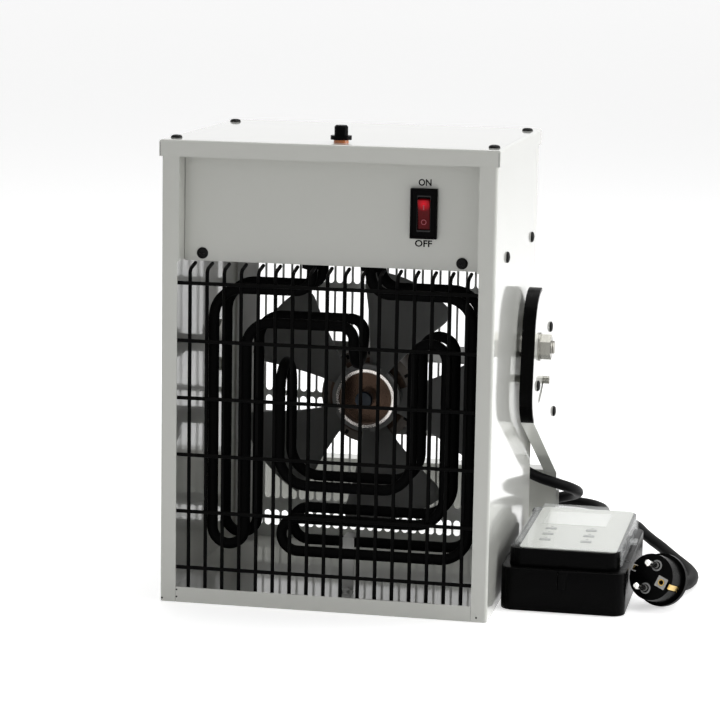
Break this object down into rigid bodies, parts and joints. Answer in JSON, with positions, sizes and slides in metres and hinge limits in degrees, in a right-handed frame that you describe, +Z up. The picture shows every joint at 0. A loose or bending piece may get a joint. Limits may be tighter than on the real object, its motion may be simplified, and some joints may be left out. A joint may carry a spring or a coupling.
{
  "type": "industrial fan heater",
  "caption": "Boxy white sheet metal fan heater with tubular elements behind a wire guard, a swing stand, and a lead with a flap covered control box and plug.",
  "frame": {"origin": "on the floor under the middle of the housing", "axes": "+Z up, the front guard faces -Y, the switch is towards +X"},
  "size_m": [0.4156, 0.4505, 0.358],
  "materials": {
    "white_sheet": "gloss powder coat",
    "grey_sheet": "satin zinc plated sheet",
    "black_wire": "semi gloss black coat",
    "element_black": "matte heat resistant black",
    "black_steel": "black oxide screws",
    "plated_steel": "zinc plated",
    "blade_aluminium": "dull sheet",
    "hub_metal": "polished ring",
    "hub_cap_blue": "gloss dark blue",
    "motor_grey": "satin cast housing",
    "black_plastic": "fine satin",
    "pad_black": "satin moulded",
    "red_lens": "translucent gloss",
    "orange_washer": "translucent",
    "clear_flap": "clear",
    "pale_plate": "satin",
    "key_grey": "soft matte",
    "cord_rubber": "matte",
    "foot_rubber": "matte",
    "plug_black": "satin moulded",
    "pin_steel": "nickel plated",
    "clip_brass": "bright"
  },
  "bodies": {
    "heater": {"housing": "white_sheet", "top_cover": "white_sheet", "fascia_panel": "white_sheet", "compartment_shelf": "grey_sheet", "rear_panel": "white_sheet", "front_guard": "black_wire", "motor_bars": "grey_sheet", "side_rails": "grey_sheet", "motor_body": "motor_grey", "motor_screws": "black_steel", "element_left": "element_black", "element_right": "element_black", "element_glands": "element_black", "element_support": "plated_steel", "thermal_cutout": "black_plastic", "reset_washer": "orange_washer", "reset_nut": "black_plastic", "switch_body": "black_plastic", "cover_screws": "black_steel", "fascia_screws": "black_steel", "shelf_screws": "black_steel", "pivot_bolts": "plated_steel", "pivot_spacers": "plated_steel", "pivot_nuts": "plated_steel", "guide_studs": "plated_steel", "strain_relief": "black_plastic", "cord_run_a": "cord_rubber", "cord_coil": "cord_rubber", "cord_run_b": "cord_rubber", "cord_run_c": "cord_rubber", "box_base": "black_plastic", "box_cover": "black_plastic", "box_faceplate": "pale_plate", "box_reliefs": "black_plastic", "plug_body": "plug_black", "plug_pins": "pin_steel", "plug_clips": "clip_brass"},
    "fan": {"fan_shaft": "plated_steel", "fan_hub": "hub_metal", "fan_blades": "blade_aluminium", "hub_cap": "hub_cap_blue"},
    "rocker": {"switch_rocker": "red_lens"},
    "reset": {"reset_button": "black_plastic"},
    "stand": {"arm_left": "white_sheet", "arm_right": "white_sheet", "stand_bar": "white_sheet", "arm_pads": "pad_black", "arm_screws": "black_steel", "stand_feet": "foot_rubber"},
    "flap": {"box_flap": "clear_flap"},
    "key_1_body": {"key_1": "key_grey"},
    "key_2_body": {"key_2": "key_grey"},
    "key_3_body": {"key_3": "key_grey"},
    "key_4_body": {"key_4": "key_grey"},
    "key_5_body": {"key_5": "key_grey"},
    "key_6_body": {"key_6": "key_grey"}
  },
  "joints": [
    {"name": "fan_spin", "type": "hinge", "parent": "heater", "child": "fan", "pos_m": [0, 0.0425, 0.133], "axis": [0, 1, 0], "continuous": true},
    {"name": "rocker_tilt", "type": "hinge", "parent": "heater", "child": "rocker", "pos_m": [0.0682, -0.095, 0.2963], "axis": [-1, 0, 0], "range_deg": [0, 20]},
    {"name": "reset_press", "type": "slide", "parent": "heater", "child": "reset", "axis": [0, 0, -1], "range_m": [0, 0.002], "stiffness_N_per_m": 200, "springref_m": -0.002},
    {"name": "stand_swing", "type": "hinge", "parent": "heater", "child": "stand", "pos_m": [0, 0.0375, 0.182], "axis": [1, 0, 0], "range_deg": [0, 35]},
    {"name": "flap_open", "type": "hinge", "parent": "heater", "child": "flap", "pos_m": [0.1352, 0.0075, 0.0442], "axis": [0, -1, 0], "range_deg": [0, 75]},
    {"name": "key_1_press", "type": "slide", "parent": "heater", "child": "key_1_body", "axis": [0, 0, -1], "range_m": [0, 0.0006], "stiffness_N_per_m": 150, "springref_m": -0.001},
    {"name": "key_2_press", "type": "slide", "parent": "heater", "child": "key_2_body", "axis": [0, 0, -1], "range_m": [0, 0.0006], "stiffness_N_per_m": 150, "springref_m": -0.001},
    {"name": "key_3_press", "type": "slide", "parent": "heater", "child": "key_3_body", "axis": [0, 0, -1], "range_m": [0, 0.0006], "stiffness_N_per_m": 150, "springref_m": -0.001},
    {"name": "key_4_press", "type": "slide", "parent": "heater", "child": "key_4_body", "axis": [0, 0, -1], "range_m": [0, 0.0006], "stiffness_N_per_m": 150, "springref_m": -0.001},
    {"name": "key_5_press", "type": "slide", "parent": "heater", "child": "key_5_body", "axis": [0, 0, -1], "range_m": [0, 0.0006], "stiffness_N_per_m": 150, "springref_m": -0.001},
    {"name": "key_6_press", "type": "slide", "parent": "heater", "child": "key_6_body", "axis": [0, 0, -1], "range_m": [0, 0.0006], "stiffness_N_per_m": 150, "springref_m": -0.001}
  ]
}
